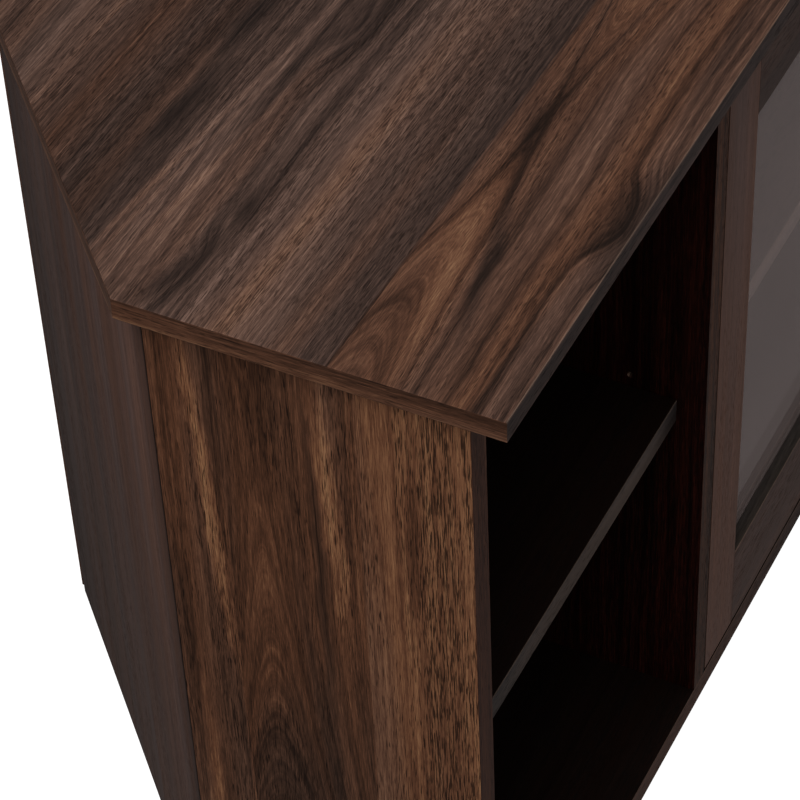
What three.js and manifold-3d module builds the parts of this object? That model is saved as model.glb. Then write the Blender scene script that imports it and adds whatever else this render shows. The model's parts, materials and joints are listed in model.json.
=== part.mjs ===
import * as THREE from 'three';
import { mergeVertices } from 'three/addons/utils/BufferGeometryUtils.js';
import Module from 'manifold-3d';

// A corner television cabinet: a six-sided top over a carcass whose two back corners are cut off,
// an open bay with one shelf at each end, and a pair of framed glass doors in the middle.
// Millimetres. X runs along the front to the right, Y runs to the back and Z runs up. The origin
// lies on the floor under the middle of the top's box.

const wasm = await Module();
wasm.setup();

// Whole cabinet
const width = 1473;
const depth = 520;
const height = 635;
const sideLength = 244;
const splayAngle = THREE.MathUtils.degToRad(45);

// Boards
const topThickness = 15;
const boardThickness = 19;
const backThickness = 5;
const topArris = 0.8;

// How far the top stands out past the carcass
const frontOverhang = 28;
const sideOverhang = 12.5;
const splayOverhang = 15.5;
const backOverhang = 8;

// Length of a bay's straight back, between its angled corner and the divider
const bayBackLength = 59.7;

// Clearances
const seam = 0.3;
const overrun = 2;

// Middle compartment
const headerHeight = 28;
const cableRadius = 24;
const bayCableRadius = 20;

// Shelves and the pins under them
const shelfTopZ = 313;
const shelfToDoor = 2;
const shelfPlay = 1;
const pinPegRadius = 2.4;
const pinHoleWall = 3;
const pinHolePlay = 0.5;
const pinNubRadius = 3.5;
const pinNubLength = 7;
const pinChamfer = 0.8;
const pinPitch = 32;
const pinSpareHoles = 1;
const pinFromShelfFront = 35;
const pinFromBack = 60;
const pinFromCorner = 30;

// Doors
const doorThickness = 19;
const doorSideGap = 2;
const doorEndGap = 3;
const doorMeetingGap = 3;
const railHeight = 76;
const glassThickness = 4;
const glassBackWall = 5;
const glassGrip = 7;

// Knobs and their screws
const knobAboveShelf = 47;
const knobRadius = 13;
const knobNeckRadius = 5;
const knobBaseRadius = 8;
const knobBaseLength = 3;
const knobNeckLength = 8;
const knobLength = 24;
const knobDome = 3;
const knobBore = 10;
const screwRadius = 2;
const screwHeadRadius = 4;
const screwHeadHeight = 2.2;
const screwTipGap = 1;

// Concealed hinges
const hingeFromDoorEnd = 80;
const cupBoreRadius = 17.5;
const cupDepth = 11.5;
const cupWall = 1.2;
const cupBoreMargin = 5;
const flangeLip = 2.5;
const flangeThickness = 1.2;
const flangeEarWidth = 12;
const flangeEarReach = 29;
const earScrewReach = 24;
const earScrewRadius = 3.4;
const earScrewHeight = 1;
const linkWidth = 12;
const linkHeight = 9;
const linkRise = 2.5;
const armHeight = 13;
const armThickness = 12;
const armNoseReach = 27;
const armNoseDepth = 7;
const armShoulder = 6;
const armLength = 75;
const plateThickness = 1.5;
const plateHeight = 44;
const plateFrom = 28;
const plateLength = 40;
const plateScrewReach = 16;

// Magnetic catches and their strike plates
const catchFromMiddle = 27.5;
const catchWidth = 32;
const catchDepth = 13;
const catchRise = 16;
const catchDrop = 26;
const strikeWidth = 24;
const strikeHeight = 18;
const strikeThickness = 1.2;

// Floor glides
const glideRadius = 11;
const glideHeight = 3;
const glideEdge = 1;
const glideNailRadius = 1.6;
const glideNailLength = 9;
const glideInset = 45;

// Facets round one turn, and steps along a rounded edge
const fineSides = 24;
const pinSides = 10;
const domeSteps = 5;
const arrisSteps = 2;

// Levels
const baseZ = glideHeight + seam;
const floorTopZ = baseZ + boardThickness;
const undersideZ = height - topThickness;
const boardTopZ = undersideZ - seam;
const headerZ = undersideZ - headerHeight;
const shelfZ = shelfTopZ - boardThickness;
const knobZ = shelfTopZ + knobAboveShelf;
const pinZ = shelfZ - seam - pinNubRadius;

// Plan lines. The left half has negative X, and the right half mirrors it.
const halfWidth = width / 2;
const topFrontY = -depth / 2;
const topBackY = depth / 2;
const cornerY = topFrontY + sideLength;
const frontY = topFrontY + frontOverhang;
const backOuterY = topBackY - backOverhang;
const backInnerY = backOuterY - backThickness;
const boardBackY = backInnerY - seam;
const sideOuterX = -halfWidth + sideOverhang;
const sideInnerX = sideOuterX + boardThickness;
const splayInnerInset = splayOverhang + boardThickness;
const dividerOuterX = splayX(backInnerY, splayInnerInset) + bayBackLength;
const dividerInnerX = dividerOuterX + boardThickness;
const dividerMiddleX = (dividerInnerX + dividerOuterX) / 2;
const shelfSetback = doorThickness + shelfToDoor;

// A pin hole goes so deep that a wall is left between two holes bored from both faces of a board
const pinHoleDepth = (boardThickness - pinHoleWall) / 2;
const pinPegLength = pinHoleDepth - pinHolePlay;

// The top's left rear edge moved inwards by inset: its x at a given y, and its y at a given x.
function splayX(y, inset) {
  const start = -halfWidth + inset * Math.sin(splayAngle);
  return start + (y - cornerY + inset * Math.cos(splayAngle)) / Math.tan(splayAngle);
}

function splayY(x, inset) {
  const run = x + halfWidth - inset * Math.sin(splayAngle);
  return cornerY - inset * Math.cos(splayAngle) + run * Math.tan(splayAngle);
}

// Door sizes, measured from the door's own front corner at its hinge edge. The stiles are as wide as
// a hinge bore with a margin on either side and the glass groove.
const doorOuterX = dividerInnerX + doorSideGap;
const doorWidth = -doorMeetingGap / 2 - doorOuterX;
const doorZ = floorTopZ + doorEndGap;
const doorHeight = headerZ - doorEndGap - doorZ;
const cupFromDoorEdge = cupBoreMargin + cupBoreRadius;
const flangeRadius = cupBoreRadius + flangeLip;
const stileWidth = 2 * cupFromDoorEdge + glassGrip;
const glassSetback = doorThickness - glassBackWall - glassThickness;
const hingeLevels = { lower: hingeFromDoorEnd, upper: doorHeight - hingeFromDoorEnd };
const doorBackY = frontY + doorThickness;

// Materials
const walnut = new THREE.MeshStandardMaterial({ color: 0x4b3a32, roughness: 0.55 });
const walnutDoor = new THREE.MeshStandardMaterial({ color: 0x3e302c, roughness: 0.55 });
const backBoard = new THREE.MeshStandardMaterial({ color: 0x2b201c, roughness: 0.8 });
const glass = new THREE.MeshStandardMaterial({
  color: 0x5a5656,
  roughness: 0.08,
  transparent: true,
  opacity: 0.45,
});
const darkMetal = new THREE.MeshStandardMaterial({ color: 0x2a2624, metalness: 0.9, roughness: 0.4 });
const steel = new THREE.MeshStandardMaterial({ color: 0xb4b2ae, metalness: 1, roughness: 0.35 });
const blackPlastic = new THREE.MeshStandardMaterial({ color: 0x1c1a19, roughness: 0.6 });

function add(parent, name, geometry, material, x, y, z) {
  const mesh = new THREE.Mesh(geometry, material);
  mesh.name = name;
  mesh.position.set(x, y, z);
  parent.add(mesh);
  return mesh;
}

// A board or bar with a plan outline, standing on its own z = 0
function prism(outline, rise) {
  const shape = new THREE.Shape(outline.map(([x, y]) => new THREE.Vector2(x, y)));
  return new THREE.ExtrudeGeometry(shape, { depth: rise, bevelEnabled: false });
}

function block([x0, x1], [y0, y1], [z0, z1]) {
  const geometry = new THREE.BoxGeometry(x1 - x0, y1 - y0, z1 - z0);
  return geometry.translate((x0 + x1) / 2, (y0 + y1) / 2, (z0 + z1) / 2);
}

// A cylinder from a start point along +x, +y or +z
function rod(axis, radius, length, [x, y, z], sides = fineSides) {
  const geometry = new THREE.CylinderGeometry(radius, radius, length, sides);
  geometry.translate(0, length / 2, 0);
  if (axis === 'x') geometry.rotateZ(-Math.PI / 2);
  if (axis === 'z') geometry.rotateX(Math.PI / 2);
  return geometry.translate(x, y, z);
}

// A turned piece about its own y axis, from [radius, y] points that start and end on the axis
function turned(profile, sides = fineSides) {
  return new THREE.LatheGeometry(profile.map(([r, y]) => new THREE.Vector2(r, y)), sides);
}

function solidOf(geometry) {
  const bare = geometry.clone();
  bare.deleteAttribute('normal');
  bare.deleteAttribute('uv');
  const merged = mergeVertices(bare);
  const corners = [];
  for (let i = 0; i < merged.index.count; i += 3) {
    const [a, b, c] = [0, 1, 2].map((k) => merged.index.getX(i + k));
    if (a !== b && b !== c && c !== a) corners.push(a, b, c);
  }
  return new wasm.Manifold(new wasm.Mesh({
    numProp: 3,
    vertProperties: merged.attributes.position.array,
    triVerts: new Uint32Array(corners),
  }));
}

function geometryOf(solid) {
  const mesh = solid.getMesh();
  const geometry = new THREE.BufferGeometry();
  geometry.setAttribute('position', new THREE.BufferAttribute(mesh.vertProperties, 3));
  geometry.setIndex(new THREE.BufferAttribute(mesh.triVerts, 1));
  const faceted = geometry.toNonIndexed();
  faceted.computeVertexNormals();
  return faceted;
}

function cut(geometry, ...tools) {
  return geometryOf(tools.reduce((left, tool) => left.subtract(solidOf(tool)), solidOf(geometry)));
}

function join(geometry, ...others) {
  return geometryOf(others.reduce((sum, other) => sum.add(solidOf(other)), solidOf(geometry)));
}

// A symmetric outline from the corners of its left half, listed from front to back
function wholeOutline(leftHalf) {
  return [...leftHalf, ...leftHalf.map(([x, y]) => [-x, y]).reverse()];
}

// Top, with its edges eased
function topPanel() {
  const outline = wholeOutline([
    [-halfWidth, topFrontY],
    [-halfWidth, cornerY],
    [splayX(topBackY, 0), topBackY],
  ]);
  const shape = new THREE.Shape(outline.map(([x, y]) => new THREE.Vector2(x, y)));
  const geometry = new THREE.ExtrudeGeometry(shape, {
    depth: topThickness - 2 * topArris,
    bevelThickness: topArris,
    bevelSize: topArris,
    bevelOffset: -topArris,
    bevelSegments: arrisSteps,
  });
  return geometry.translate(0, 0, topArris);
}

// Where the glides are nailed under the left half of the bottom panel
const glidePlaces = {
  front_outer: [sideInnerX + glideInset, frontY + glideInset],
  front_inner: [dividerMiddleX, frontY + glideInset],
  rear: [dividerMiddleX, boardBackY - glideInset],
};

function bottomPanel() {
  const inset = splayInnerInset + seam;
  const edgeX = sideInnerX + seam;
  const outline = wholeOutline([
    [edgeX, frontY],
    [edgeX, splayY(edgeX, inset)],
    [splayX(boardBackY, inset), boardBackY],
  ]);
  const nailHoles = [];
  for (const [x, y] of Object.values(glidePlaces)) {
    for (const place of [x, -x]) {
      const start = [place, y, -overrun];
      nailHoles.push(rod('z', glideNailRadius + seam, glideNailLength + overrun, start, pinSides));
    }
  }
  return cut(prism(outline, boardThickness), ...nailHoles);
}

// The rows of shelf pin holes: where each row stands, and the face that it is bored into. The
// direction is the one that the pin points in, out of the face.
const frontPinY = frontY + shelfSetback + pinFromShelfFront;
const rearPinY = backInnerY - pinFromBack;
const cornerPinY = splayY(sideInnerX, splayInnerInset) - pinFromCorner;
const pinRows = {
  side: [
    { x: sideInnerX, y: frontPinY, direction: 1 },
    { x: sideInnerX, y: cornerPinY, direction: 1 },
  ],
  dividerBay: [
    { x: dividerOuterX, y: frontPinY, direction: -1 },
    { x: dividerOuterX, y: rearPinY, direction: -1 },
  ],
  dividerCentre: [
    { x: dividerInnerX, y: frontPinY, direction: 1 },
    { x: dividerInnerX, y: rearPinY, direction: 1 },
  ],
};

// Pin holes for boards whose geometry starts at the base level
function pinHoles(rows) {
  const holes = [];
  for (const { x, y, direction } of rows) {
    const startX = direction > 0 ? x - pinHoleDepth : x - overrun;
    for (let step = -pinSpareHoles; step <= pinSpareHoles; step += 1) {
      const start = [startX, y, pinZ - baseZ + step * pinPitch];
      holes.push(rod('x', pinPegRadius + seam, pinHoleDepth + overrun, start, pinSides));
    }
  }
  return holes;
}

// Side panel and angled rear panel, mitred where they meet
function sidePanel() {
  const outline = [
    [sideOuterX, frontY],
    [sideInnerX, frontY],
    [sideInnerX, splayY(sideInnerX, splayInnerInset) - seam],
    [sideOuterX, splayY(sideOuterX, splayOverhang) - seam],
  ];
  return cut(prism(outline, boardTopZ - baseZ), ...pinHoles(pinRows.side));
}

function rearPanel() {
  const outline = [
    [sideOuterX, splayY(sideOuterX, splayOverhang)],
    [sideInnerX, splayY(sideInnerX, splayInnerInset)],
    [splayX(boardBackY, splayInnerInset), boardBackY],
    [splayX(boardBackY, splayOverhang), boardBackY],
  ];
  return prism(outline, boardTopZ - baseZ);
}

function divider() {
  const rise = [floorTopZ + seam - baseZ, boardTopZ - baseZ];
  const board = block([dividerOuterX, dividerInnerX], [frontY, boardBackY], rise);
  return cut(board, ...pinHoles(pinRows.dividerBay), ...pinHoles(pinRows.dividerCentre));
}

// Back sheets, each with one cable hole for either compartment height
const cableLevels = [(floorTopZ + shelfZ) / 2, (shelfTopZ + undersideZ) / 2];

function backSheet(x0, x1, holeX, holeRadius) {
  const sheet = block([x0, x1], [backInnerY, backOuterY], [0, boardTopZ - baseZ]);
  const holes = cableLevels.map((level) => {
    const start = [holeX, backInnerY - overrun, level - baseZ];
    return rod('y', holeRadius, backThickness + 2 * overrun, start);
  });
  return cut(sheet, ...holes);
}

// Shelves
function bayShelf() {
  const [outerX, innerX] = [sideInnerX + shelfPlay, dividerOuterX - shelfPlay];
  const inset = splayInnerInset + shelfPlay;
  const backY = backInnerY - shelfPlay;
  return prism([
    [outerX, frontY + shelfSetback],
    [innerX, frontY + shelfSetback],
    [innerX, backY],
    [splayX(backY, inset), backY],
    [outerX, splayY(outerX, inset)],
  ], boardThickness);
}

function centreShelf() {
  const reach = -dividerInnerX - shelfPlay;
  return block([-reach, reach], [frontY + shelfSetback, backInnerY - shelfPlay], [0, boardThickness]);
}

function shelfPin() {
  return turned([
    [0, -pinPegLength],
    [pinPegRadius - pinChamfer, -pinPegLength],
    [pinPegRadius, -pinPegLength + pinChamfer],
    [pinPegRadius, seam],
    [pinNubRadius, seam],
    [pinNubRadius, pinNubLength - pinChamfer],
    [pinNubRadius - pinChamfer, pinNubLength],
    [0, pinNubLength],
  ], pinSides);
}

function addPin(parent, name, { x, y, direction }) {
  const pin = add(parent, name, shelfPin(), steel, x, y, pinZ);
  pin.rotation.z = -direction * Math.PI / 2;
}

// Floor glide: a plastic disc on a nail
function glide() {
  const geometry = turned([
    [0, 0],
    [glideRadius - glideEdge, 0],
    [glideRadius, glideEdge],
    [glideRadius, glideHeight],
    [glideNailRadius, glideHeight],
    [glideNailRadius, glideHeight + glideNailLength - seam],
    [0, glideHeight + glideNailLength - seam],
  ], pinSides);
  return geometry.rotateX(Math.PI / 2);
}

// Door frame, in the door's own corner frame: x runs from the hinge edge to the meeting edge, y from
// the front face to the back face and z up. A groove round the inside holds the glass.
const glassX = [stileWidth - glassGrip, doorWidth - stileWidth + glassGrip];
const glassY = [glassSetback, glassSetback + glassThickness];
const glassZ = [railHeight - glassGrip, doorHeight - railHeight + glassGrip];

function grown([low, high], by) {
  return [low - by, high + by];
}

function glassGroove() {
  return block(grown(glassX, seam), grown(glassY, seam), grown(glassZ, seam));
}

function hingeStile() {
  const bores = Object.values(hingeLevels).map((level) => {
    const start = [cupFromDoorEdge, doorThickness - cupDepth, level];
    return rod('y', cupBoreRadius, cupDepth + overrun, start);
  });
  const stile = block([0, stileWidth], [0, doorThickness], [0, doorHeight]);
  return cut(stile, glassGroove(), ...bores);
}

const knobX = doorWidth - stileWidth / 2;

function meetingStile() {
  const stile = block([doorWidth - stileWidth, doorWidth], [0, doorThickness], [0, doorHeight]);
  const start = [knobX, -overrun, knobZ - doorZ];
  const screwHole = rod('y', screwRadius + seam, doorThickness + 2 * overrun, start, pinSides);
  return cut(stile, glassGroove(), screwHole);
}

function rail(low) {
  const span = grown([stileWidth, doorWidth - stileWidth], -seam);
  return cut(block(span, [0, doorThickness], [low, low + railHeight]), glassGroove());
}

// Knob, turned about y and pointing forwards from the door's front face, bored for its screw
function knob() {
  const boreRadius = screwRadius + seam;
  const domeStart = knobLength - knobDome;
  const dome = [];
  for (let step = 0; step <= domeSteps; step += 1) {
    const turn = (step / domeSteps) * (Math.PI / 2);
    dome.push([knobRadius * Math.cos(turn), -domeStart - knobDome * Math.sin(turn)]);
  }
  dome[domeSteps][0] = 0;
  const neckEnd = knobBaseLength + knobNeckLength;
  const profile = [
    [0, -knobBore],
    [boreRadius, -knobBore],
    [boreRadius, -seam],
    [knobBaseRadius, -seam],
    [knobBaseRadius, -knobBaseLength],
    [knobNeckRadius, -knobBaseLength],
    [knobNeckRadius, -neckEnd],
    [knobRadius, -domeStart + knobDome],
    ...dome,
  ];
  return turned(profile.reverse());
}

function knobScrew() {
  const tip = doorThickness + knobBore - screwTipGap;
  return turned([
    [0, -tip],
    [screwRadius, -tip],
    [screwRadius, seam],
    [screwHeadRadius, seam],
    [screwHeadRadius, screwHeadHeight],
    [0, screwHeadHeight],
  ], pinSides);
}

// Hinge cup, turned about y, open towards the back, with two screwed ears and the folded link in it
function hingeCup() {
  const radius = cupBoreRadius - seam;
  const floor = -cupDepth + seam;
  const faceY = flangeThickness + seam;
  const cup = turned([
    [0, floor],
    [radius, floor],
    [radius, seam],
    [flangeRadius, seam],
    [flangeRadius, faceY],
    [radius - cupWall, faceY],
    [radius - cupWall, floor + cupWall],
    [0, floor + cupWall],
  ]);
  const ears = cut(
    block([-flangeEarWidth / 2, flangeEarWidth / 2], [seam, faceY], [-flangeEarReach, flangeEarReach]),
    rod('y', radius, faceY + overrun, [0, 0, 0]),
  );
  const earScrews = [-earScrewReach, earScrewReach].map((reach) => (
    rod('y', earScrewRadius, flangeThickness + earScrewHeight, [0, seam, reach], pinSides)
  ));
  const link = block(
    [-linkWidth / 2, linkWidth / 2],
    [floor + cupWall / 2, linkRise],
    [-linkHeight / 2, linkHeight / 2],
  );
  return join(cup, ears, ...earScrews, link);
}

// Hinge arm and its plate, measured from the divider's face and the door's back face
function hingeArm() {
  const faceX = seam + plateThickness;
  const noseY = linkRise + seam;
  const arm = prism([
    [faceX - plateThickness / 2, noseY],
    [armNoseReach, noseY],
    [armNoseReach, noseY + armNoseDepth],
    [faceX + armThickness, noseY + armNoseDepth + armShoulder],
    [faceX + armThickness, armLength],
    [faceX - plateThickness / 2, armLength],
  ], armHeight).translate(0, 0, -armHeight / 2);
  const plate = block(
    [seam, faceX],
    [plateFrom, plateFrom + plateLength],
    [-plateHeight / 2, plateHeight / 2],
  );
  const screws = [-plateScrewReach, plateScrewReach].map((reach) => (
    rod('x', earScrewRadius, plateThickness + earScrewHeight,
      [seam, plateFrom + plateLength / 2, reach], pinSides)
  ));
  return join(arm, plate, ...screws);
}

// Magnetic catch: a block on the header's back whose lower half stands behind the door
function magneticCatch() {
  const doorFace = strikeThickness + 2 * seam;
  const section = prism([
    [seam, catchRise],
    [catchDepth, catchRise],
    [catchDepth, -catchDrop],
    [doorFace, -catchDrop],
    [doorFace, 0],
    [seam, 0],
  ], catchWidth).translate(0, 0, -catchWidth / 2);
  return section.rotateY(Math.PI / 2).rotateX(Math.PI / 2);
}

function strikePlate() {
  const half = strikeWidth / 2;
  return block([-half, half], [seam, seam + strikeThickness], [-strikeHeight / 2, strikeHeight / 2]);
}

function addCarcassHalf(half, side) {
  add(half, `side_panel_${side}`, sidePanel(), walnut, 0, 0, baseZ);
  add(half, `rear_panel_${side}`, rearPanel(), walnut, 0, 0, baseZ);
  add(half, `divider_${side}`, divider(), walnut, 0, 0, baseZ);
  add(half, `shelf_${side}`, bayShelf(), walnut, 0, 0, shelfZ);
  const sheetStart = splayX(backOuterY, splayOverhang);
  const holeX = (splayX(backInnerY, splayInnerInset) + dividerOuterX) / 2;
  const sheet = backSheet(sheetStart, dividerMiddleX - seam / 2, holeX, bayCableRadius);
  add(half, `back_sheet_${side}`, sheet, backBoard, 0, 0, baseZ);
  const bayPins = [...pinRows.side, ...pinRows.dividerBay];
  bayPins.forEach((row, i) => addPin(half, `shelf_pin_${side}_${i + 1}`, row));
  pinRows.dividerCentre.forEach((row, i) => addPin(half, `shelf_pin_centre_${side}_${i + 1}`, row));
  for (const [place, [x, y]] of Object.entries(glidePlaces)) {
    add(half, `glide_${side}_${place}`, glide(), blackPlastic, x, y, 0);
  }
  for (const [level, z] of Object.entries(hingeLevels)) {
    add(half, `hinge_arm_${side}_${level}`, hingeArm(), steel, dividerInnerX, doorBackY, doorZ + z);
  }
  add(half, `catch_${side}`, magneticCatch(), blackPlastic, -catchFromMiddle, doorBackY, headerZ);
}

function addDoor(half, side) {
  const door = new THREE.Group();
  door.position.set(doorOuterX, frontY, doorZ);
  half.add(door);
  const name = `door_${side}`;
  add(door, `${name}_hinge_stile`, hingeStile(), walnutDoor, 0, 0, 0);
  add(door, `${name}_meeting_stile`, meetingStile(), walnutDoor, 0, 0, 0);
  add(door, `${name}_bottom_rail`, rail(0), walnutDoor, 0, 0, 0);
  add(door, `${name}_top_rail`, rail(doorHeight - railHeight), walnutDoor, 0, 0, 0);
  add(door, `${name}_glass`, block(glassX, glassY, glassZ), glass, 0, 0, 0);
  add(door, `${name}_knob`, knob(), darkMetal, knobX, 0, knobZ - doorZ);
  add(door, `${name}_knob_screw`, knobScrew(), steel, knobX, doorThickness, knobZ - doorZ);
  for (const [level, z] of Object.entries(hingeLevels)) {
    add(door, `hinge_cup_${side}_${level}`, hingeCup(), steel, cupFromDoorEdge, doorThickness, z);
  }
  const strikeX = -catchFromMiddle - doorOuterX;
  const strikeZ = doorHeight - strikeHeight / 2 - doorEndGap;
  add(door, `strike_${side}`, strikePlate(), steel, strikeX, doorThickness, strikeZ);
}

const cabinet = new THREE.Group();
add(cabinet, 'top_panel', topPanel(), walnut, 0, 0, undersideZ);
add(cabinet, 'bottom_panel', bottomPanel(), walnut, 0, 0, baseZ);
add(cabinet, 'shelf_centre', centreShelf(), walnut, 0, 0, shelfZ);
const centreSheetReach = -dividerMiddleX - seam / 2;
// The middle cable holes lie behind the right door's meeting stile, which hides them when it is closed
const cableX = (doorMeetingGap + stileWidth) / 2;
const centreSheet = backSheet(-centreSheetReach, centreSheetReach, cableX, cableRadius);
add(cabinet, 'back_sheet_centre', centreSheet, backBoard, 0, 0, baseZ);
const headerReach = -dividerInnerX - seam;
const header = block([-headerReach, headerReach], [frontY, doorBackY], [0, boardTopZ - headerZ]);
add(cabinet, 'door_header', header, walnut, 0, 0, headerZ);

for (const [side, sign] of [['left', 1], ['right', -1]]) {
  const half = new THREE.Group();
  half.scale.x = sign;
  cabinet.add(half);
  addCarcassHalf(half, side);
  addDoor(half, side);
}

export default cabinet;
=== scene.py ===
"""Looks of a corner television cabinet in dark walnut laminate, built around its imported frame."""

import json
import math
from collections import namedtuple

import bpy
from mathutils import Matrix, Vector

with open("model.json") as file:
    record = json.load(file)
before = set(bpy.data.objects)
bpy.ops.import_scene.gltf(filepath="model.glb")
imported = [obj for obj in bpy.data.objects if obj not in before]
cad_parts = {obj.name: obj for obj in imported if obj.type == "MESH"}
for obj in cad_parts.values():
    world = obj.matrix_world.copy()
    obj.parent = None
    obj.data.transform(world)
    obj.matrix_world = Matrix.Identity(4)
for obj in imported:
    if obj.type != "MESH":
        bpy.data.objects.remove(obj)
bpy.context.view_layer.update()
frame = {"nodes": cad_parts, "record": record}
NODES = frame["nodes"]
SLOT_OF = {part["node"]: part["material_slot"] for part in frame["record"]["subparts"]}

# The camera: how far it looks to the right of straight back, below the horizon and rolled, its
# place in metres, and its sensor and lens in millimetres
CAMERA_AZIMUTH = math.radians(61.62)
CAMERA_DROP = math.radians(43.37)
CAMERA_ROLL = math.radians(-2.87)
CAMERA_PLACE = Vector((-1.8085, -0.7755, 1.7784))
SENSOR_WIDTH = 36.0
FOCAL_LENGTH = 139.92


def make_camera():
    ahead = Vector((
        math.sin(CAMERA_AZIMUTH) * math.cos(CAMERA_DROP),
        math.cos(CAMERA_AZIMUTH) * math.cos(CAMERA_DROP),
        -math.sin(CAMERA_DROP),
    ))
    level_right = Vector((math.cos(CAMERA_AZIMUTH), -math.sin(CAMERA_AZIMUTH), 0))
    level_up = level_right.cross(ahead)
    right = level_right * math.cos(CAMERA_ROLL) + level_up * math.sin(CAMERA_ROLL)
    up = level_up * math.cos(CAMERA_ROLL) - level_right * math.sin(CAMERA_ROLL)
    data = bpy.data.cameras.new("camera")
    data.sensor_width = SENSOR_WIDTH
    data.lens = FOCAL_LENGTH
    camera = bpy.data.objects.new("camera", data)
    turn = Matrix((right, up, -ahead)).transposed()
    camera.matrix_world = Matrix.Translation(CAMERA_PLACE) @ turn.to_4x4()
    bpy.context.scene.collection.objects.link(camera)
    bpy.context.scene.camera = camera


# Sockets of a Mix node, by number because several share a name
MIX_SHARE = 0
FIRST_NUMBER, SECOND_NUMBER, MIXED_NUMBER = 2, 3, 0
FIRST_COLOUR, SECOND_COLOUR, MIXED_COLOUR = 6, 7, 2

# Where a stop is added to a ramp, before it gets its own place
NEW_STOP = 0.5
WHITE = (1.0, 1.0, 1.0, 1.0)


class Graph:
    """Adds shader nodes to one tree.

    node gives the new node, split its outputs, and the other methods but feed its one output.
    """

    def __init__(self, tree):
        self.tree = tree
        tree.nodes.clear()

    def node(self, kind, settings=None, **inputs):
        made = self.tree.nodes.new(kind)
        for name, value in (settings or {}).items():
            setattr(made, name, value)
        for name, value in inputs.items():
            self.feed(made.inputs[name.replace("_", " ")], value)
        return made

    def feed(self, socket, value):
        if isinstance(value, bpy.types.NodeSocket):
            self.tree.links.new(value, socket)
        else:
            socket.default_value = value

    def math(self, operation, a, b=0.0, c=0.0, clamp=False):
        made = self.node("ShaderNodeMath", {"operation": operation, "use_clamp": clamp})
        for socket, value in zip(made.inputs, (a, b, c)):
            self.feed(socket, value)
        return made.outputs[0]

    def vector(self, x, y, z):
        return self.node("ShaderNodeCombineXYZ", X=x, Y=y, Z=z).outputs[0]

    def split(self, vector):
        return self.node("ShaderNodeSeparateXYZ", Vector=vector).outputs

    def noise(self, vector, detail, roughness):
        made = self.node(
            "ShaderNodeTexNoise", Vector=vector, Scale=1.0, Detail=detail, Roughness=roughness
        )
        return made.outputs["Fac"]

    def object_noise(self, scale, detail, roughness):
        """Noise that is fixed to the object, with this many cells in a metre."""
        place = self.node("ShaderNodeTexCoord").outputs["Object"]
        scaled = self.node(
            "ShaderNodeVectorMath", {"operation": "SCALE"}, Vector=place, Scale=scale
        )
        return self.noise(scaled.outputs[0], detail, roughness)

    def ramp(self, value, stops, interpolation="LINEAR"):
        made = self.node("ShaderNodeValToRGB", Fac=value)
        made.color_ramp.interpolation = interpolation
        points = made.color_ramp.elements
        while len(points) < len(stops):
            points.new(NEW_STOP)
        for point, (place, colour) in zip(points, stops):
            point.position = place
            if isinstance(colour, (int, float)):
                colour = (colour, colour, colour)
            point.color = (*colour, 1.0)
        return made.outputs["Color"]

    def mix(self, share, a, b, blend="MIX"):
        made = self.node("ShaderNodeMix", {"data_type": "RGBA", "blend_type": blend})
        self.feed(made.inputs[MIX_SHARE], share)
        self.feed(made.inputs[FIRST_COLOUR], a)
        self.feed(made.inputs[SECOND_COLOUR], b)
        return made.outputs[MIXED_COLOUR]

    def blend(self, share, a, b):
        made = self.node("ShaderNodeMix", {"data_type": "FLOAT"})
        self.feed(made.inputs[MIX_SHARE], share)
        self.feed(made.inputs[FIRST_NUMBER], a)
        self.feed(made.inputs[SECOND_NUMBER], b)
        return made.outputs[MIXED_NUMBER]

    def remap(self, value, low, high, to_low=0.0, to_high=1.0):
        made = self.node(
            "ShaderNodeMapRange",
            Value=value,
            From_Min=low,
            From_Max=high,
            To_Min=to_low,
            To_Max=to_high,
        )
        return made.outputs[0]

    def join_shaders(self, kind, *values):
        """A Mix Shader, fed with a share and two shaders, or an Add Shader, with two shaders."""
        made = self.node(kind)
        for socket, value in zip(made.inputs, values):
            self.feed(socket, value)
        return made.outputs[0]


def new_material(name):
    material = bpy.data.materials.new(name)
    material.use_nodes = True
    return material, Graph(material.node_tree)


def finish_material(graph, **inputs):
    """Joins a Principled shader with these inputs to the material's output."""
    shader = graph.node("ShaderNodeBsdfPrincipled", **inputs)
    graph.node("ShaderNodeOutputMaterial", Surface=shader.outputs[0])


# Colours of the walnut print in linear light, from the darkest late wood to the lightest streak
GREY_STOPS = (
    (0.0, (0.0075, 0.0049, 0.0041)),
    (0.2, (0.0170, 0.0109, 0.0090)),
    (0.4, (0.0360, 0.0228, 0.0185)),
    (0.6, (0.0650, 0.0410, 0.0329)),
    (0.8, (0.1090, 0.0698, 0.0561)),
    (1.0, (0.1650, 0.1092, 0.0894)),
)
WARM_STOPS = (
    (0.0, (0.0090, 0.0046, 0.0029)),
    (0.2, (0.0205, 0.0100, 0.0062)),
    (0.4, (0.0420, 0.0200, 0.0121)),
    (0.6, (0.0760, 0.0360, 0.0216)),
    (0.8, (0.1260, 0.0655, 0.0380)),
    (1.0, (0.1900, 0.1110, 0.0640)),
)
PORE_COLOUR = (0.0060, 0.0034, 0.0026, 1.0)
# The painted highlight on faces that slant to the front and up, such as eased arrises
ARRIS_HIGHLIGHT_COLOUR = (0.36, 0.26, 0.20, 1.0)

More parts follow.
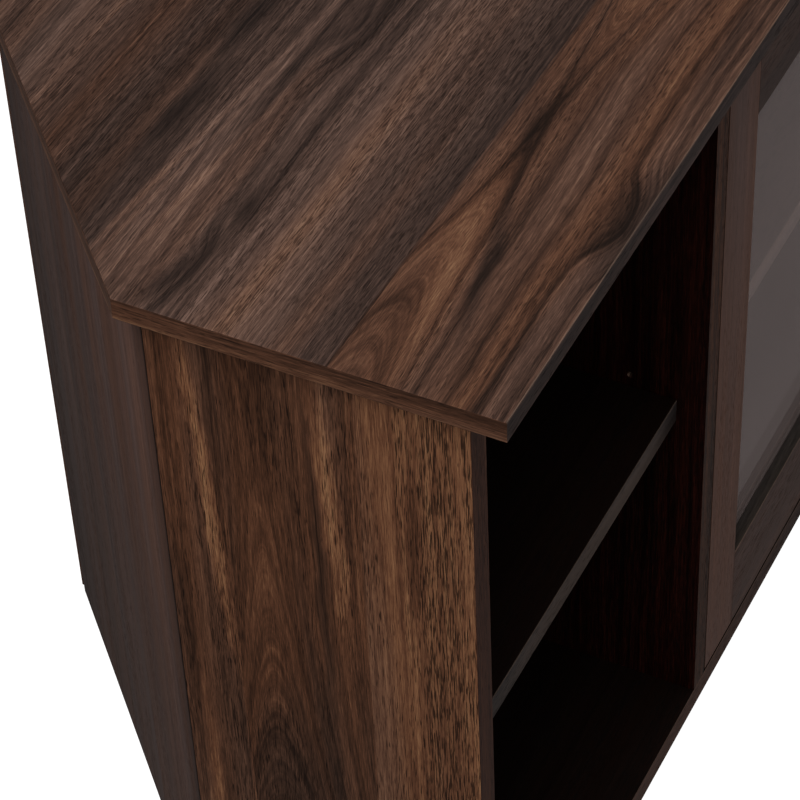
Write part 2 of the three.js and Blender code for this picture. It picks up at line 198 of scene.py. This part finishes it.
# Noise in the grain: cells in a metre along and across it, offset, detail and roughness
Layer = namedtuple("Layer", "along across offset detail roughness")
WANDER = Layer(3.0, 7.0, 3.0, 1.0, 0.5)
RIPPLE = Layer(24.0, 50.0, 5.0, 2.0, 0.5)
RING_DRIFT = Layer(1.5, 9.0, 7.0, 1.0, 0.5)
BROAD = Layer(1.0, 14.0, 11.0, 2.0, 0.5)
MEDIUM = Layer(2.6, 150.0, 15.0, 3.0, 0.6)
FINE = Layer(7.0, 560.0, 19.0, 3.0, 0.75)
FIBRE = Layer(70.0, 1450.0, 31.0, 3.0, 0.75)
HUE = Layer(1.5, 30.0, 35.0, 1.0, 0.5)
PORE_BANDS = Layer(3.0, 50.0, 27.0, 1.0, 0.5)
DASHES = Layer(110.0, 1100.0, 23.0, 1.0, 0.5)
SIDE_DASHES = DASHES._replace(along=80.0, across=1650.0)
NOISE_MEAN = 0.5
SEED_DRIFT = 6.0
SEED_SPREAD = 37.0

# The cosine over which a face looks along an axis, the cosine under which it slants to it, and
# what its cosine to the right times its place to the right is under when it faces the middle
FACING = 0.5
SQUARE = 0.9
INWARD = -0.2

# How far the print is shifted on a board's ends, in metres, and the share of its width between
# the tones of two planks
EDGE_SHIFT = -0.97
HAIR = 1e-4

# How far the grain wanders, the half width under which a streak stays straight, and how round an
# arch is, all in metres
PLAIN_SWAY = 0.006
FIGURED_SWAY = 0.055
GRAIN_RIPPLE = 0.0030
CLOUD_RIPPLE = 0.012
STREAK_WIDTH = 0.005
ARCH_SOFTNESS = 0.005

# Growth rings, and how much each layer changes the tone or the hue
RING_STOPS = (
    (0.0, 0.0), (0.07, 0.55), (0.25, 1.0), (0.6, 0.85), (0.85, 0.45), (1.0, 0.0),
)
RING_MEAN = 0.66
RING_PITCH = 0.017
RING_WEIGHT = 0.42
BROAD_WEIGHT = 0.45
MEDIUM_WEIGHT = 0.55
FINE_WEIGHT = 0.85
FIBRE_WEIGHT = 1.05
CLOUD_FIBRE = 1.5
CLOUD_WARMTH = 1.2
HUE_SPREAD = 2.2

# Pores, a painted highlight on faces that slant to the front and up, and the gloss and relief of
# the face
BAND_EDGE = 0.12
BARE_BAND = 0.14
RING_PORES = 0.08
CROWDING = 0.06
PORE_CONTRAST = 12.0
ARRIS_SLANT = (-0.25, -0.45)
ARRIS_HIGHLIGHT_SHARE = 0.42
ARRIS_COVER = 0.6
LAMINATE_GLOSS = 0.06
PORE_ROUGHNESS = 0.2
FINE_RELIEF = 0.5
RELIEF_STRENGTH = 0.4
RELIEF_DEPTH = 0.00012


class Print:
    """The printed grain of one laminate, in metres.

    along: the axis that the grain follows.
    planks: first place across the grain, tone at its start, middle and end, warmth, rings, shift.
    arches: places along and across the grain where flat-sawn arches part, and how they spread.
    clouds: place along and across, half length, half width, slope, pull on the grain, tone.
    crowded: the two places across the grain between which the pores lie thickest.
    """

    def __init__(self, along, planks, arches=(), clouds=(), crowded=None):
        self.along = along
        self.planks = planks
        self.arches = arches
        self.clouds = clouds
        self.crowded = crowded

    def plank_at(self, place):
        starts = [row[0] for row in self.planks]
        inner = max(i for i, start in enumerate(starts[:-1]) if start <= place)
        return starts[inner], starts[inner + 1]


def within(g, value, low, high):
    above = g.math("GREATER_THAN", value, low)
    return g.math("MULTIPLY", above, g.math("LESS_THAN", value, high))


def grain_places(g, grain, place, facing):
    """The places along and across the grain, for the faces, the sides and the ends of a board."""
    along = grain.along
    across, depth = [axis for axis in (1, 0, 2) if axis != along]
    on_side = g.math("GREATER_THAN", g.math("ABSOLUTE", facing[across]), FACING)
    on_end = g.math("GREATER_THAN", g.math("ABSOLUTE", facing[along]), FACING)
    slanted = g.math("LESS_THAN", g.math("ABSOLUTE", facing[across]), SQUARE)
    mirrored = g.math("MULTIPLY", slanted, g.math("GREATER_THAN", place[depth], 0.0))
    side_v = g.math("MULTIPLY_ADD", mirrored, -2.0, 1.0)
    side_v = g.math("MULTIPLY_ADD", side_v, place[depth], place[across])
    end_v = g.math("ADD", place[depth], EDGE_SHIFT)
    u = g.blend(on_end, place[along], place[across])
    v = g.blend(on_end, g.blend(on_side, place[across], side_v), end_v)
    return u, v


def plank_values(g, grain, v):
    """Tone, warmth, rings and shift of the plank at this place across the grain."""
    rows = grain.planks
    first, last = rows[0][0], rows[-1][0]
    share = g.remap(v, first, last)
    tones = []
    steady = [[], [], []]
    for row, following in zip(rows, rows[1:]):
        low, high = ((edge - first) / (last - first) for edge in (row[0], following[0]))
        start, middle, end = row[1:4]
        tones += [(low + HAIR, start), ((low + high) / 2, middle), (high - HAIR, end)]
        for stops, value in zip(steady, row[4:]):
            stops.append((low, value))
    return [g.ramp(share, tones)] + [g.ramp(share, stops, "CONSTANT") for stops in steady]


def cloud_cover(g, u, v, centre, reach, slope):
    """1 in the middle of a slanting oval, falling smoothly to 0 at its rim."""
    off_u = g.math("SUBTRACT", u, centre[0])
    off_v = g.math("MULTIPLY_ADD", off_u, -slope, g.math("SUBTRACT", v, centre[1]))
    spot = g.vector(g.math("DIVIDE", off_u, reach[0]), g.math("DIVIDE", off_v, reach[1]), 0.0)
    distance = g.node("ShaderNodeVectorMath", {"operation": "LENGTH"}, Vector=spot)
    near = g.node(
        "ShaderNodeMapRange",
        {"interpolation_type": "SMOOTHSTEP"},
        Value=distance.outputs["Value"],
        To_Min=1.0,
        To_Max=0.0,
    )
    return near.outputs[0]


def arched(g, u, flow, at_u, at_v, spread):
    """The flow of the grain around the place where flat-sawn arches part."""
    run = g.math("MULTIPLY", g.math("SUBTRACT", u, at_u), spread)
    rise = g.math("SUBTRACT", flow, at_v)
    gap = g.math("SUBTRACT", g.math("MULTIPLY", rise, rise), g.math("MULTIPLY", run, run))
    size = g.math("SQRT", g.math("ADD", g.math("ABSOLUTE", gap), ARCH_SOFTNESS**2))
    size = g.math("SUBTRACT", size, ARCH_SOFTNESS)
    return g.math("MULTIPLY_ADD", g.math("SIGN", gap), size, at_v)


def painted_light_by_facing(g, colour, place, facing, tint, front_light_and_shade, inner_painted_shade, top_painted_shade):
    """Painted light and shade: the colour times the tint for the direction in which the face looks,
    so faces to the front, to the middle and upward become lit and shaded copies of one laminate.
    """
    to_front = g.math("LESS_THAN", facing[1], -FACING)
    shade = g.mix(to_front, (*tint, 1.0), (*(front_light_and_shade or tint), 1.0))
    if inner_painted_shade:
        inward = g.math("LESS_THAN", g.math("MULTIPLY", facing[0], place[0]), INWARD)
        shade = g.mix(inward, shade, (*inner_painted_shade, 1.0))
    if top_painted_shade:
        upward = g.math("GREATER_THAN", facing[2], FACING)
        shade = g.mix(upward, shade, (*top_painted_shade, 1.0))
    return g.mix(1.0, colour, shade, "MULTIPLY")


def walnut(
    name,
    grain,
    tint=(1.0, 1.0, 1.0),
    front_light_and_shade=None,
    inner_painted_shade=None,
    top_painted_shade=None,
    contrast=1.0,
    pore_share=0.55,
    pore_excess=0.0,
    dashes=DASHES,
    roughness=0.5,
):
    """Walnut laminate with a satin face.

    tint scales the colour of every face, both the laminate's own tone and painted light and shade.
    front_light_and_shade is the painted light and shade of the faces to the front,
    inner_painted_shade the painted shade of those to the middle, and top_painted_shade that of
    those that look up. pore_share is how dark the pores are, pore_excess how many more there are,
    and dashes the noise that shapes them.
    """
    material, g = new_material(name)
    coordinates = g.node("ShaderNodeTexCoord")
    place = g.split(coordinates.outputs["Object"])
    facing = g.split(coordinates.outputs["Normal"])
    u, v = grain_places(g, grain, place, facing)
    tone, warmth, rings, shift = plank_values(g, grain, v)
    seed = g.math("MULTIPLY_ADD", v, SEED_DRIFT, g.math("MULTIPLY", shift, SEED_SPREAD))

    def field(layer, across_from=v):
        vector = g.vector(
            g.math("MULTIPLY", u, layer.along),
            g.math("MULTIPLY", across_from, layer.across),
            g.math("ADD", seed, layer.offset),
        )
        return g.math("SUBTRACT", g.noise(vector, layer.detail, layer.roughness), NOISE_MEAN)

    # The grain wanders, most where the plank is figured
    sway = g.math("MULTIPLY_ADD", rings, FIGURED_SWAY, PLAIN_SWAY)
    ripple = field(RIPPLE)
    flow = g.math("MULTIPLY_ADD", field(WANDER), sway, v)
    flow = g.math("MULTIPLY_ADD", ripple, GRAIN_RIPPLE, flow)
    bent = g.math("MULTIPLY_ADD", ripple, CLOUD_RIPPLE, v)
    lift = 0.0
    for at_u, at_v, reach_u, reach_v, slope, pull, change in grain.clouds:
        course = v if reach_v < STREAK_WIDTH else bent
        cover = cloud_cover(g, u, course, (at_u, at_v), (reach_u, reach_v), slope)
        bulge = g.math("MULTIPLY", cover, within(g, v, *grain.plank_at(at_v)))
        lift = g.math("MULTIPLY_ADD", bulge, change, lift)
        if pull:
            flow = g.math("MULTIPLY_ADD", bulge, pull, flow)
    for at_u, at_v, spread in grain.arches:
        arch = arched(g, u, flow, at_u, at_v, spread)
        flow = g.blend(within(g, v, *grain.plank_at(at_v)), flow, arch)

    # Growth rings, finer and finer streaks that follow them, and straight fibres
    level = g.math("MULTIPLY_ADD", flow, 1 / RING_PITCH, field(RING_DRIFT))
    ring = g.math("SUBTRACT", g.ramp(g.math("FRACT", level), RING_STOPS), RING_MEAN)
    broad = field(BROAD, flow)
    fine = field(FINE, flow)
    fibre = g.math("MULTIPLY", field(FIBRE), g.math("MULTIPLY_ADD", lift, CLOUD_FIBRE, 1.0))
    value = g.math("MULTIPLY", ring, g.math("MULTIPLY", rings, RING_WEIGHT))
    for part, weight in (
        (broad, BROAD_WEIGHT),
        (field(MEDIUM, flow), MEDIUM_WEIGHT),
        (fine, FINE_WEIGHT),
        (fibre, FIBRE_WEIGHT),
    ):
        value = g.math("MULTIPLY_ADD", part, weight, value)
    value = g.math("MULTIPLY_ADD", value, contrast, g.math("ADD", tone, lift))
    warmth = g.math("MULTIPLY_ADD", lift, CLOUD_WARMTH, warmth)
    hue = g.math("MULTIPLY_ADD", field(HUE, flow), HUE_SPREAD, warmth, clamp=True)
    colour = g.mix(hue, g.ramp(value, GREY_STOPS), g.ramp(value, WARM_STOPS))

    # Pores: short dark dashes along the grain, crowded in some bands
    limit = g.remap(field(PORE_BANDS, flow), -BAND_EDGE, BAND_EDGE, BARE_BAND, 0.0)
    limit = g.math("MULTIPLY_ADD", rings, RING_PORES, g.math("SUBTRACT", limit, pore_excess))
    if grain.crowded:
        limit = g.math("MULTIPLY_ADD", within(g, bent, *grain.crowded), -CROWDING, limit)
    pores = g.math("SUBTRACT", field(dashes), limit)
    pores = g.math("MULTIPLY", pores, PORE_CONTRAST, clamp=True)
    colour = g.mix(g.math("MULTIPLY", pores, pore_share), colour, PORE_COLOUR)
    colour = painted_light_by_facing(g, colour, place, facing, tint, front_light_and_shade, inner_painted_shade, top_painted_shade)
    # A painted highlight: faces that slant to the front and up are lightened, patchily, towards the
    # highlight colour
    slant = g.math("MULTIPLY", facing[1], facing[2])
    arris_highlight = g.remap(slant, *ARRIS_SLANT, 0.0, ARRIS_HIGHLIGHT_SHARE)
    arris_highlight = g.math("MULTIPLY", arris_highlight, g.math("ADD", broad, ARRIS_COVER))
    colour = g.mix(arris_highlight, colour, ARRIS_HIGHLIGHT_COLOUR)

    sheen = g.math("MULTIPLY_ADD", pores, PORE_ROUGHNESS, roughness)
    height = g.math("MULTIPLY_ADD", fine, FINE_RELIEF, g.math("MULTIPLY", pores, -1.0))
    bump = g.node(
        "ShaderNodeBump", Strength=RELIEF_STRENGTH, Distance=RELIEF_DEPTH, Height=height
    )
    finish_material(
        g,
        Base_Color=colour,
        Roughness=sheen,
        Specular_IOR_Level=LAMINATE_GLOSS,
        Normal=bump.outputs[0],
    )
    return material


# Metal and plastic parts
SPECKLE_DETAIL = 4.0
SPECKLE_ROUGHNESS = 0.6
SPECKLE_RANGE = (0.3, 0.7)
SPECKLE_TONE = 0.12
SPECKLE_GLOSS = 0.06
SPECKLE_STRENGTH = 0.3
SPECKLE_DEPTH = 0.00005


def plain(name, colour, roughness, metallic=0.0, grain=60.0):
    """A cast, plated or moulded surface with a fine uneven grain."""
    material, g = new_material(name)
    speckle = g.object_noise(grain, SPECKLE_DETAIL, SPECKLE_ROUGHNESS)
    low, high = SPECKLE_RANGE
    dark = tuple(part * (1 - SPECKLE_TONE) for part in colour)
    light = tuple(part * (1 + SPECKLE_TONE) for part in colour)
    shade = g.ramp(speckle, ((low, dark), (high, light)))
    gloss = g.remap(speckle, low, high, roughness - SPECKLE_GLOSS, roughness + SPECKLE_GLOSS)
    bump = g.node(
        "ShaderNodeBump", Strength=SPECKLE_STRENGTH, Distance=SPECKLE_DEPTH, Height=speckle
    )
    finish_material(
        g, Base_Color=shade, Roughness=gloss, Metallic=metallic, Normal=bump.outputs[0]
    )
    return material


# Door glass
HAZE_SCALE = 5.0
HAZE_DETAIL = 3.0
HAZE_ROUGHNESS = 0.6
HAZE_RANGE = (0.3, 0.7)
HAZE_SHARES = (0.09, 0.11)
GLASS_COLOUR = (0.86, 0.86, 0.86, 1.0)
DUST_COLOUR = (0.92, 0.73, 0.70, 1.0)
GLOSS_COLOUR = (1.0, 0.9, 0.9, 1.0)
GLOSS_ROUGHNESS = (0.02, 0.07)
GRAZING_BLEND = 0.5
GRAZING_POWER = 5.0
GRAZING_GLOSS = 0.28
HEAD_ON_GLOSS = 0.02


def glass_material():
    """Clear tempered glass with a soft haze of dust."""
    material, g = new_material("door_glass")
    smear = g.object_noise(HAZE_SCALE, HAZE_DETAIL, HAZE_ROUGHNESS)
    clear = g.node("ShaderNodeBsdfTransparent", Color=GLASS_COLOUR).outputs[0]
    dust = g.node("ShaderNodeBsdfDiffuse", Color=DUST_COLOUR).outputs[0]
    haze = g.remap(smear, *HAZE_RANGE, *HAZE_SHARES)
    film = g.join_shaders("ShaderNodeMixShader", haze, clear, dust)
    gloss = g.node(
        "ShaderNodeBsdfGlossy",
        Color=GLOSS_COLOUR,
        Roughness=g.remap(smear, *HAZE_RANGE, *GLOSS_ROUGHNESS),
    )
    facing = g.node("ShaderNodeLayerWeight", Blend=GRAZING_BLEND).outputs["Facing"]
    grazing = g.math("POWER", facing, GRAZING_POWER)
    share = g.math("MULTIPLY_ADD", grazing, GRAZING_GLOSS, HEAD_ON_GLOSS)
    surface = g.join_shaders("ShaderNodeMixShader", share, film, gloss.outputs[0])
    g.node("ShaderNodeOutputMaterial", Surface=surface)
    return material


# The axis that the grain follows, and the prints
UPRIGHT, ALONG_FRONT = 2, 0
TOP_PRINT = Print(
    ALONG_FRONT,
    (
        (-0.352, 0.63, 0.56, 0.42, 1.0, 0.4, 0.31),
        (-0.334, 0.50, 0.50, 0.50, 0.5, 0.2, 0.31),
        (-0.275, 0.40, 0.52, 0.52, 0.72, 0.62, 0.11),
        (-0.1525, 0.38, 0.54, 0.62, 0.10, 0.05, 0.37),
        (-0.06, 0.52, 0.52, 0.57, 0.02, 0.45, 0.59),
        (0.0175, 0.34, 0.44, 0.52, 0.25, 0.15, 0.83),
        (0.115, 0.56, 0.56, 0.52, 0.40, 0.5, 0.23),
        (0.195, 0.50, 0.5, 0.5, 0.3, 0.2, 0.71),
        (0.275, 0.5, 0.5, 0.5, 0.3, 0.2, 0.0),
    ),
    ((-0.486, -0.172, 0.12),),
    (
        (-0.63, -0.176, 0.13, 0.017, 0.17, 0.0, 0.12),
        (-0.33, -0.180, 0.14, 0.030, 0.0, 0.0, 0.12),
        (-0.612, -0.1935, 0.115, 0.008, 0.22, 0.0, -0.26),
        (-0.50, -0.166, 0.05, 0.012, 0.20, 0.0, -0.14),
        (-0.56, -0.254, 0.07, 0.026, 0.0, 0.014, -0.36),
        (-0.38, -0.242, 0.10, 0.007, 0.02, 0.0, -0.18),
        (-0.70, -0.242, 0.10, 0.006, -0.05, 0.0, -0.14),
        (-0.72, -0.225, 0.12, 0.035, 0.0, 0.0, -0.05),
        (-0.70, -0.040, 0.055, 0.016, -0.10, 0.012, -0.28),
        (-0.64, -0.015, 0.12, 0.024, 0.0, 0.0, 0.14),
        (-0.45, -0.032, 0.09, 0.022, 0.0, 0.012, -0.18),
        (-0.635, -0.050, 0.04, 0.010, 0.0, 0.006, -0.28),
        (-0.57, 0.0065, 0.28, 0.0045, -0.085, 0.0, 0.26),
        (-0.57, -0.0005, 0.26, 0.0035, -0.085, 0.0, 0.20),
        (-0.60, -0.0135, 0.22, 0.0045, -0.085, 0.0, 0.16),
        (-0.475, 0.038, 0.055, 0.013, -0.10, 0.0, -0.22),
        (-0.565, 0.030, 0.075, 0.012, -0.10, 0.0, -0.24),
        (-0.60, -0.090, 0.60, 0.016, 0.0, 0.0, 0.08),
        (-0.50, 0.032, 0.40, 0.014, 0.0, 0.0, -0.08),
        # The next two clouds lighten the left end of the top: a painted sheen
        (-0.76, -0.105, 0.22, 0.080, 0.0, 0.0, 0.06),
        (-0.76, -0.010, 0.26, 0.050, 0.0, 0.0, 0.10),
    ),
)
SIDE_PRINT = Print(
    UPRIGHT,
    (
        (-0.275, 0.70, 0.72, 0.68, 1.0, 0.05, 0.13),
        (-0.16, 0.45, 0.34, 0.34, 0.75, 0.20, 0.41),
        (-0.07, 0.40, 0.41, 0.38, 0.65, 0.2, 0.67),
        (0.02, 0.5, 0.5, 0.5, 0.3, 0.2, 0.29),
        (0.10, 0.5, 0.5, 0.5, 0.4, 0.5, 0.91),
        (0.275, 0.5, 0.5, 0.5, 0.4, 0.5, 0.91),
    ),
    ((0.55, -0.090, 0.11),),
    (
        (0.50, -0.057, 0.33, 0.009, 0.064, 0.0, 0.34),
        (0.50, -0.1415, 0.20, 0.011, 0.08, 0.0, 0.27),
        (0.42, -0.131, 0.26, 0.006, 0.02, 0.0, -0.22),
        (0.50, -0.193, 0.09, 0.012, 0.0, 0.0, -0.20),
        (0.57, -0.068, 0.12, 0.010, 0.0, 0.0, -0.20),
        (0.38, -0.030, 0.10, 0.020, 0.0, 0.0, -0.10),
        (0.40, -0.092, 0.14, 0.022, 0.0, 0.0, 0.10),
        (0.58, -0.100, 0.08, 0.020, 0.0, 0.0, -0.08),
        (0.20, -0.040, 0.14, 0.007, 0.0, 0.0, 0.20),
        (0.15, -0.068, 0.16, 0.005, 0.0, 0.0, 0.20),
        (0.05, -0.115, 0.45, 0.100, 0.0, 0.0, -0.15),
        (0.05, -0.215, 0.40, 0.100, 0.0, 0.0, -0.08),
    ),
    crowded=(-0.245, -0.184),
)
REAR_ROWS = (
    # The first row is a dark strip at the mitre with the side panel: a dark joint line together
    # with painted shade at the corner
    (-0.752, 0.02, 0.04, 0.10, 0.2, 0.1, 0.45),
    (-0.7455, 0.34, 0.42, 0.48, 0.4, 0.1, 0.45),
    (-0.705, 0.49, 0.53, 0.53, 0.5, 0.1, 0.45),
    (-0.655, 0.52, 0.47, 0.46, 0.5, 0.1, 0.45),
    (-0.55, 0.47, 0.46, 0.44, 0.3, 0.1, 0.45),
    (-0.44, 0.44, 0.40, 0.42, 0.5, 0.1, 0.45),
    (-0.30, 0.42, 0.36, 0.32, 0.3, 0.1, 0.45),
    (-0.19, 0.32, 0.32, 0.32, 0.3, 0.1, 0.0),
)
BOARD_ROWS = (
    (-0.275, 0.5, 0.46, 0.44, 0.4, 0.2, 0.07),
    (-0.14, 0.44, 0.5, 0.46, 0.3, 0.1, 0.53),
    (-0.02, 0.47, 0.5, 0.46, 0.5, 0.5, 0.77),
    (0.10, 0.45, 0.5, 0.46, 0.3, 0.2, 0.19),
    (0.275, 0.5, 0.5, 0.5, 0.3, 0.2, 0.0),
)
BAR_ROWS = (
    (-0.75, 0.5, 0.46, 0.5, 0.4, 0.1, 0.31),
    (-0.3, 0.5, 0.52, 0.48, 0.3, 0.2, 0.61),
    (0.05, 0.48, 0.5, 0.46, 0.4, 0.1, 0.17),
    (0.3, 0.5, 0.47, 0.5, 0.3, 0.2, 0.89),
    (0.75, 0.5, 0.5, 0.5, 0.3, 0.2, 0.0),
)
LEVEL_CLOUDS = (
    (-0.66, 0.0925, 0.07, 0.03, 0.0, 0.0, -0.14),
    (-0.46, 0.0925, 0.08, 0.03, 0.0, 0.0, 0.06),
    (-0.36, 0.0925, 0.05, 0.03, 0.0, 0.0, -0.24),
    (-0.15, -0.219, 0.23, 0.03, 0.0, 0.0, -0.17),
)
RAIL_CLOUDS = (
    (-0.20, 0.089, 0.30, 0.006, 0.0, 0.0, -0.20),
    (-0.15, 0.098, 0.30, 0.004, 0.0, 0.0, 0.06),
    (-0.25, 0.060, 0.20, 0.010, 0.0, 0.0, 0.06),
)
REAR_PRINT = Print(UPRIGHT, REAR_ROWS)
UPRIGHT_PRINT = Print(UPRIGHT, BOARD_ROWS)
LEVEL_PRINT = Print(ALONG_FRONT, BOARD_ROWS, clouds=LEVEL_CLOUDS)
UPRIGHT_BAR_PRINT = Print(UPRIGHT, BAR_ROWS)
RAIL_PRINT = Print(ALONG_FRONT, BAR_ROWS, clouds=RAIL_CLOUDS)

# Painted shade that two laminates share, darkening the faces inside the bays
BAY_PAINTED_SHADE = (0.35, 0.25, 0.24)
BOARD_PAINTED_SHADE = (0.1, 0.08, 0.08)


def walnut_materials():
    """The laminates, by material slot or, where a slot has several, by the board they cover. Their
    tints paint light and shade: faces in the bays are darkened, front edges darkened or lightened,
    the side lightened, and the centre shelf's front edge lightened so it shows through the glass.
    """
    # The tints below paint light and shade on each laminate as well as setting its colour
    return {
        "walnut_top": walnut(
            "walnut_top", TOP_PRINT, tint=(1.12, 1.04, 1.0), front_light_and_shade=(0.70, 0.68, 0.75)
        ),
        "walnut_side": walnut(
            "walnut_side",
            SIDE_PRINT,
            tint=(1.44, 1.25, 1.08),
            front_light_and_shade=(0.42, 0.28, 0.24),
            inner_painted_shade=BAY_PAINTED_SHADE,
            pore_share=0.85,
            pore_excess=-0.03,
            dashes=SIDE_DASHES,
        ),
        "walnut_rear": walnut(
            "walnut_rear",
            REAR_PRINT,
            tint=(1.55, 1.52, 1.65),
            front_light_and_shade=BAY_PAINTED_SHADE,
            inner_painted_shade=BAY_PAINTED_SHADE,
            contrast=0.5,
            pore_share=0.15,
        ),
        "divider": walnut(
            "walnut_board_upright",
            UPRIGHT_PRINT,
            tint=(0.17, 0.06, 0.05),
            front_light_and_shade=(0.52, 0.29, 0.16),
            contrast=1.8,
        ),
        "shelf": walnut(
            "walnut_board_level",
            LEVEL_PRINT,
            tint=BOARD_PAINTED_SHADE,
            front_light_and_shade=(0.83, 1.15, 1.48),
            contrast=0.4,
        ),
        "bottom": walnut(
            "walnut_board_bottom",
            LEVEL_PRINT,
            tint=BOARD_PAINTED_SHADE,
            front_light_and_shade=(1.1, 0.9, 0.85),
            contrast=0.5,
        ),
        # The centre shelf behind the glass: painted light on its front edge, and less painted shade
        # on its faces than the open bay's boards
        "centre": walnut(
            "walnut_board_centre",
            LEVEL_PRINT,
            tint=(0.6, 0.5, 0.5),
            front_light_and_shade=(3.4, 3.9, 4.4),
            contrast=0.3,
        ),
        "stile": walnut(
            "walnut_door_upright",
            UPRIGHT_BAR_PRINT,
            front_light_and_shade=(1.75, 1.65, 1.75),
            contrast=0.4,
            pore_share=0.2,
        ),
        "rail": walnut(
            "walnut_door_level",
            RAIL_PRINT,
            tint=(1.0, 0.95, 1.0),
            top_painted_shade=(0.49, 0.71, 0.85),
            contrast=0.6,
            pore_share=0.2,
        ),
        "back_board": walnut(
            "back_board",
            UPRIGHT_BAR_PRINT,
            tint=(1.2, 1.1, 1.1),
            front_light_and_shade=(0.55, 0.5, 0.5),
            contrast=0.5,
            roughness=0.75,
        ),
    }


def dress():
    """Gives every frame node its material."""
    chosen = walnut_materials()
    chosen["door_glass"] = glass_material()
    chosen["knob_metal"] = plain("knob_metal", (0.05, 0.042, 0.038), 0.35, metallic=0.9)
    # The shelf pins are a darker copy of the hinges' steel: painted shade, as they sit in the
    # shaded bays
    chosen["pin"] = plain("shaded_pin_steel", (0.09, 0.082, 0.075), 0.5, metallic=0.8, grain=180.0)
    chosen["hinge_steel"] = plain(
        "hinge_steel", (0.60, 0.585, 0.56), 0.3, metallic=1.0, grain=180.0
    )
    chosen["black_plastic"] = plain("black_plastic", (0.02, 0.019, 0.018), 0.55, grain=300.0)
    boards = {"bottom_panel": "bottom", "shelf_centre": "centre"}
    for name, piece in NODES.items():
        key = SLOT_OF[name]
        if key == "walnut_board":
            key = boards.get(name, "divider" if name.startswith("divider") else "shelf")
        elif key == "walnut_door":
            key = "stile" if name.endswith("stile") else "rail"
        elif name.startswith("shelf_pin"):
            key = "pin"
        piece.data.materials.clear()
        piece.data.materials.append(chosen[key])


# Eased edges, with lengths in metres, and the angles under which two faces are one flat face and
# over which they meet in a sharp edge
JOIN = 1e-5
EASE = 0.0005
EASE_SEGMENTS = 2
FLAT = math.radians(1.0)
SHARP = math.radians(40.0)


def ease_edges():
    """Merges each board's flat faces and takes a fine bevel off its sharp edges.

    The top is left out, because its own arrises are eased in the frame.
    """
    for name, piece in NODES.items():
        if not SLOT_OF[name].startswith("walnut") or name == "top_panel":
            continue
        joined = piece.modifiers.new("joined corners", "WELD")
        joined.merge_threshold = JOIN
        merged = piece.modifiers.new("flat faces", "DECIMATE")
        merged.decimate_type = "DISSOLVE"
        merged.angle_limit = FLAT
        eased = piece.modifiers.new("eased edges", "BEVEL")
        eased.width = EASE
        eased.segments = EASE_SEGMENTS
        eased.limit_method = "ANGLE"
        eased.angle_limit = SHARP


# Studio, in metres and watts
FLOOR_REACH = 12.0
FLOOR_GLOW = 0.95
FLOOR_COLOUR = (0.3, 0.3, 0.3, 1.0)
SKY_STOPS = ((0.0, 0.19), (0.45, 0.18), (0.6, 0.3), (1.0, 0.55))
SKY_TO_FRONT = 1.7
SKY_TO_BACK = 0.65
SKY_COLOUR = (1.0, 0.98, 0.97, 1.0)
KEY_PLACE = Vector((-2.6, -0.2, 3.2))
KEY_AIM = Vector((-0.4, 0.0, 0.5))
KEY_SIZE = 2.2
KEY_POWER = 95.0
KEY_COLOUR = (1.0, 0.98, 0.95)


def make_key_light():
    data = bpy.data.lights.new("key", "AREA")
    data.shape = "SQUARE"
    data.size = KEY_SIZE
    data.energy = KEY_POWER
    data.color = KEY_COLOUR
    light = bpy.data.objects.new("key", data)
    light.location = KEY_PLACE
    light.rotation_mode = "QUATERNION"
    light.rotation_quaternion = (KEY_AIM - KEY_PLACE).to_track_quat("-Z", "Y")
    bpy.context.scene.collection.objects.link(light)


def make_floor():
    """A pale floor that glows but sends no diffuse or glossy light to the cabinet."""
    mesh = bpy.data.meshes.new("floor")
    reach = FLOOR_REACH
    mesh.from_pydata(
        [(-reach, -reach, 0), (reach, -reach, 0), (reach, reach, 0), (-reach, reach, 0)],
        [],
        [(0, 1, 2, 3)],
    )
    floor = bpy.data.objects.new("floor", mesh)
    bpy.context.scene.collection.objects.link(floor)
    material, g = new_material("floor")
    glow = g.node("ShaderNodeEmission", Color=WHITE, Strength=FLOOR_GLOW).outputs[0]
    matte = g.node("ShaderNodeBsdfDiffuse", Color=FLOOR_COLOUR).outputs[0]
    both = g.join_shaders("ShaderNodeAddShader", glow, matte)
    g.node("ShaderNodeOutputMaterial", Surface=both)
    mesh.materials.append(material)
    floor.visible_diffuse = False
    floor.visible_glossy = False


def make_sky():
    """A white backdrop for the camera, and a soft sky that lights the front most."""
    world = bpy.data.worlds.new("studio")
    world.use_nodes = True
    bpy.context.scene.world = world
    bpy.context.scene.view_settings.view_transform = "Standard"
    g = Graph(world.node_tree)
    direction = g.split(g.node("ShaderNodeTexCoord").outputs["Generated"])
    by_height = g.ramp(g.remap(direction[2], -1.0, 1.0), SKY_STOPS)
    by_side = g.remap(direction[1], -1.0, 1.0, SKY_TO_FRONT, SKY_TO_BACK)
    strength = g.math("MULTIPLY", by_height, by_side)
    seen = g.node("ShaderNodeBackground", Color=WHITE, Strength=1.0).outputs[0]
    cast = g.node("ShaderNodeBackground", Color=SKY_COLOUR, Strength=strength).outputs[0]
    to_camera = g.node("ShaderNodeLightPath").outputs["Is Camera Ray"]
    sky = g.join_shaders("ShaderNodeMixShader", to_camera, cast, seen)
    g.node("ShaderNodeOutputWorld", Surface=sky)


make_camera()
dress()
ease_edges()
make_floor()
make_sky()
make_key_light()
